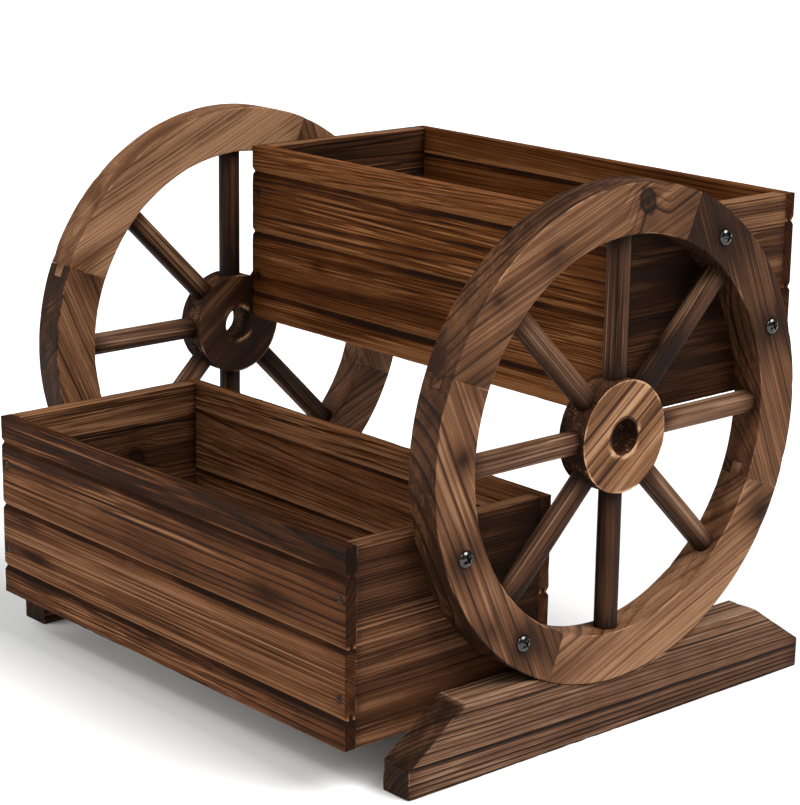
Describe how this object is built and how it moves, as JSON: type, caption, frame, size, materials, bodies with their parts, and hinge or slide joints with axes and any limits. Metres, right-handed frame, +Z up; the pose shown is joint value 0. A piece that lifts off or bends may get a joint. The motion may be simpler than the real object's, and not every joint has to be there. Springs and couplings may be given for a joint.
{
  "type": "two-tier wagon wheel planter",
  "caption": "Two-tier wooden garden planter: two board boxes set one behind and above the other, carried between two fixed spoked wagon wheels on notched foot boards.",
  "frame": {"origin": "on the ground, at the middle of the planter's footprint", "axes": "+Z up, +X along the boxes from the left wheel to the right wheel, -Y towards the lower box, +Y towards the upper box"},
  "size_m": [0.6098, 0.556, 0.511],
  "materials": {
    "board_wood": "burnt and oiled softwood, satin",
    "end_wood": "burnt and oiled softwood, satin",
    "floor_wood": "lightly burnt softwood, matt",
    "rim_wood": "burnt and oiled softwood, satin",
    "spoke_wood": "burnt and oiled dowel, satin",
    "hub_wood": "smooth faces, rough dark edge and hole",
    "foot_wood": "burnt and oiled softwood, satin",
    "bright_steel": "bright plated screw heads",
    "dark_steel": "dull darkened screw heads"
  },
  "bodies": {
    "root": {"left_felloe_bottom": "rim_wood", "left_felloe_front": "rim_wood", "left_felloe_rear": "rim_wood", "left_felloe_top": "rim_wood", "left_foot": "foot_wood", "left_hub": "hub_wood", "left_spoke_000": "spoke_wood", "left_spoke_045": "spoke_wood", "left_spoke_090": "spoke_wood", "left_spoke_135": "spoke_wood", "left_spoke_180": "spoke_wood", "left_spoke_225": "spoke_wood", "left_spoke_270": "spoke_wood", "left_spoke_315": "spoke_wood", "lower_back_board_bottom": "board_wood", "lower_back_board_lower": "board_wood", "lower_back_board_top": "board_wood", "lower_back_board_upper": "board_wood", "lower_end_panel_left": "end_wood", "lower_end_panel_right": "end_wood", "lower_floor_cleat_left": "floor_wood", "lower_floor_cleat_right": "floor_wood", "lower_floor_slat_front": "floor_wood", "lower_floor_slat_middle": "floor_wood", "lower_floor_slat_rear": "floor_wood", "lower_front_board_bottom": "board_wood", "lower_front_board_lower": "board_wood", "lower_front_board_top": "board_wood", "lower_front_board_upper": "board_wood", "panel_screws": "dark_steel", "right_felloe_bottom": "rim_wood", "right_felloe_front": "rim_wood", "right_felloe_rear": "rim_wood", "right_felloe_top": "rim_wood", "right_foot": "foot_wood", "right_hub": "hub_wood", "right_spoke_000": "spoke_wood", "right_spoke_045": "spoke_wood", "right_spoke_090": "spoke_wood", "right_spoke_135": "spoke_wood", "right_spoke_180": "spoke_wood", "right_spoke_225": "spoke_wood", "right_spoke_270": "spoke_wood", "right_spoke_315": "spoke_wood", "upper_back_board_bottom": "board_wood", "upper_back_board_lower": "board_wood", "upper_back_board_top": "board_wood", "upper_back_board_upper": "board_wood", "upper_end_panel_left": "end_wood", "upper_end_panel_right": "end_wood", "upper_floor_cleat_left": "floor_wood", "upper_floor_cleat_right": "floor_wood", "upper_floor_slat_front": "floor_wood", "upper_floor_slat_middle": "floor_wood", "upper_floor_slat_rear": "floor_wood", "upper_front_board_bottom": "board_wood", "upper_front_board_lower": "board_wood", "upper_front_board_top": "board_wood", "upper_front_board_upper": "board_wood", "wheel_screws": "bright_steel"}
  },
  "joints": []
}
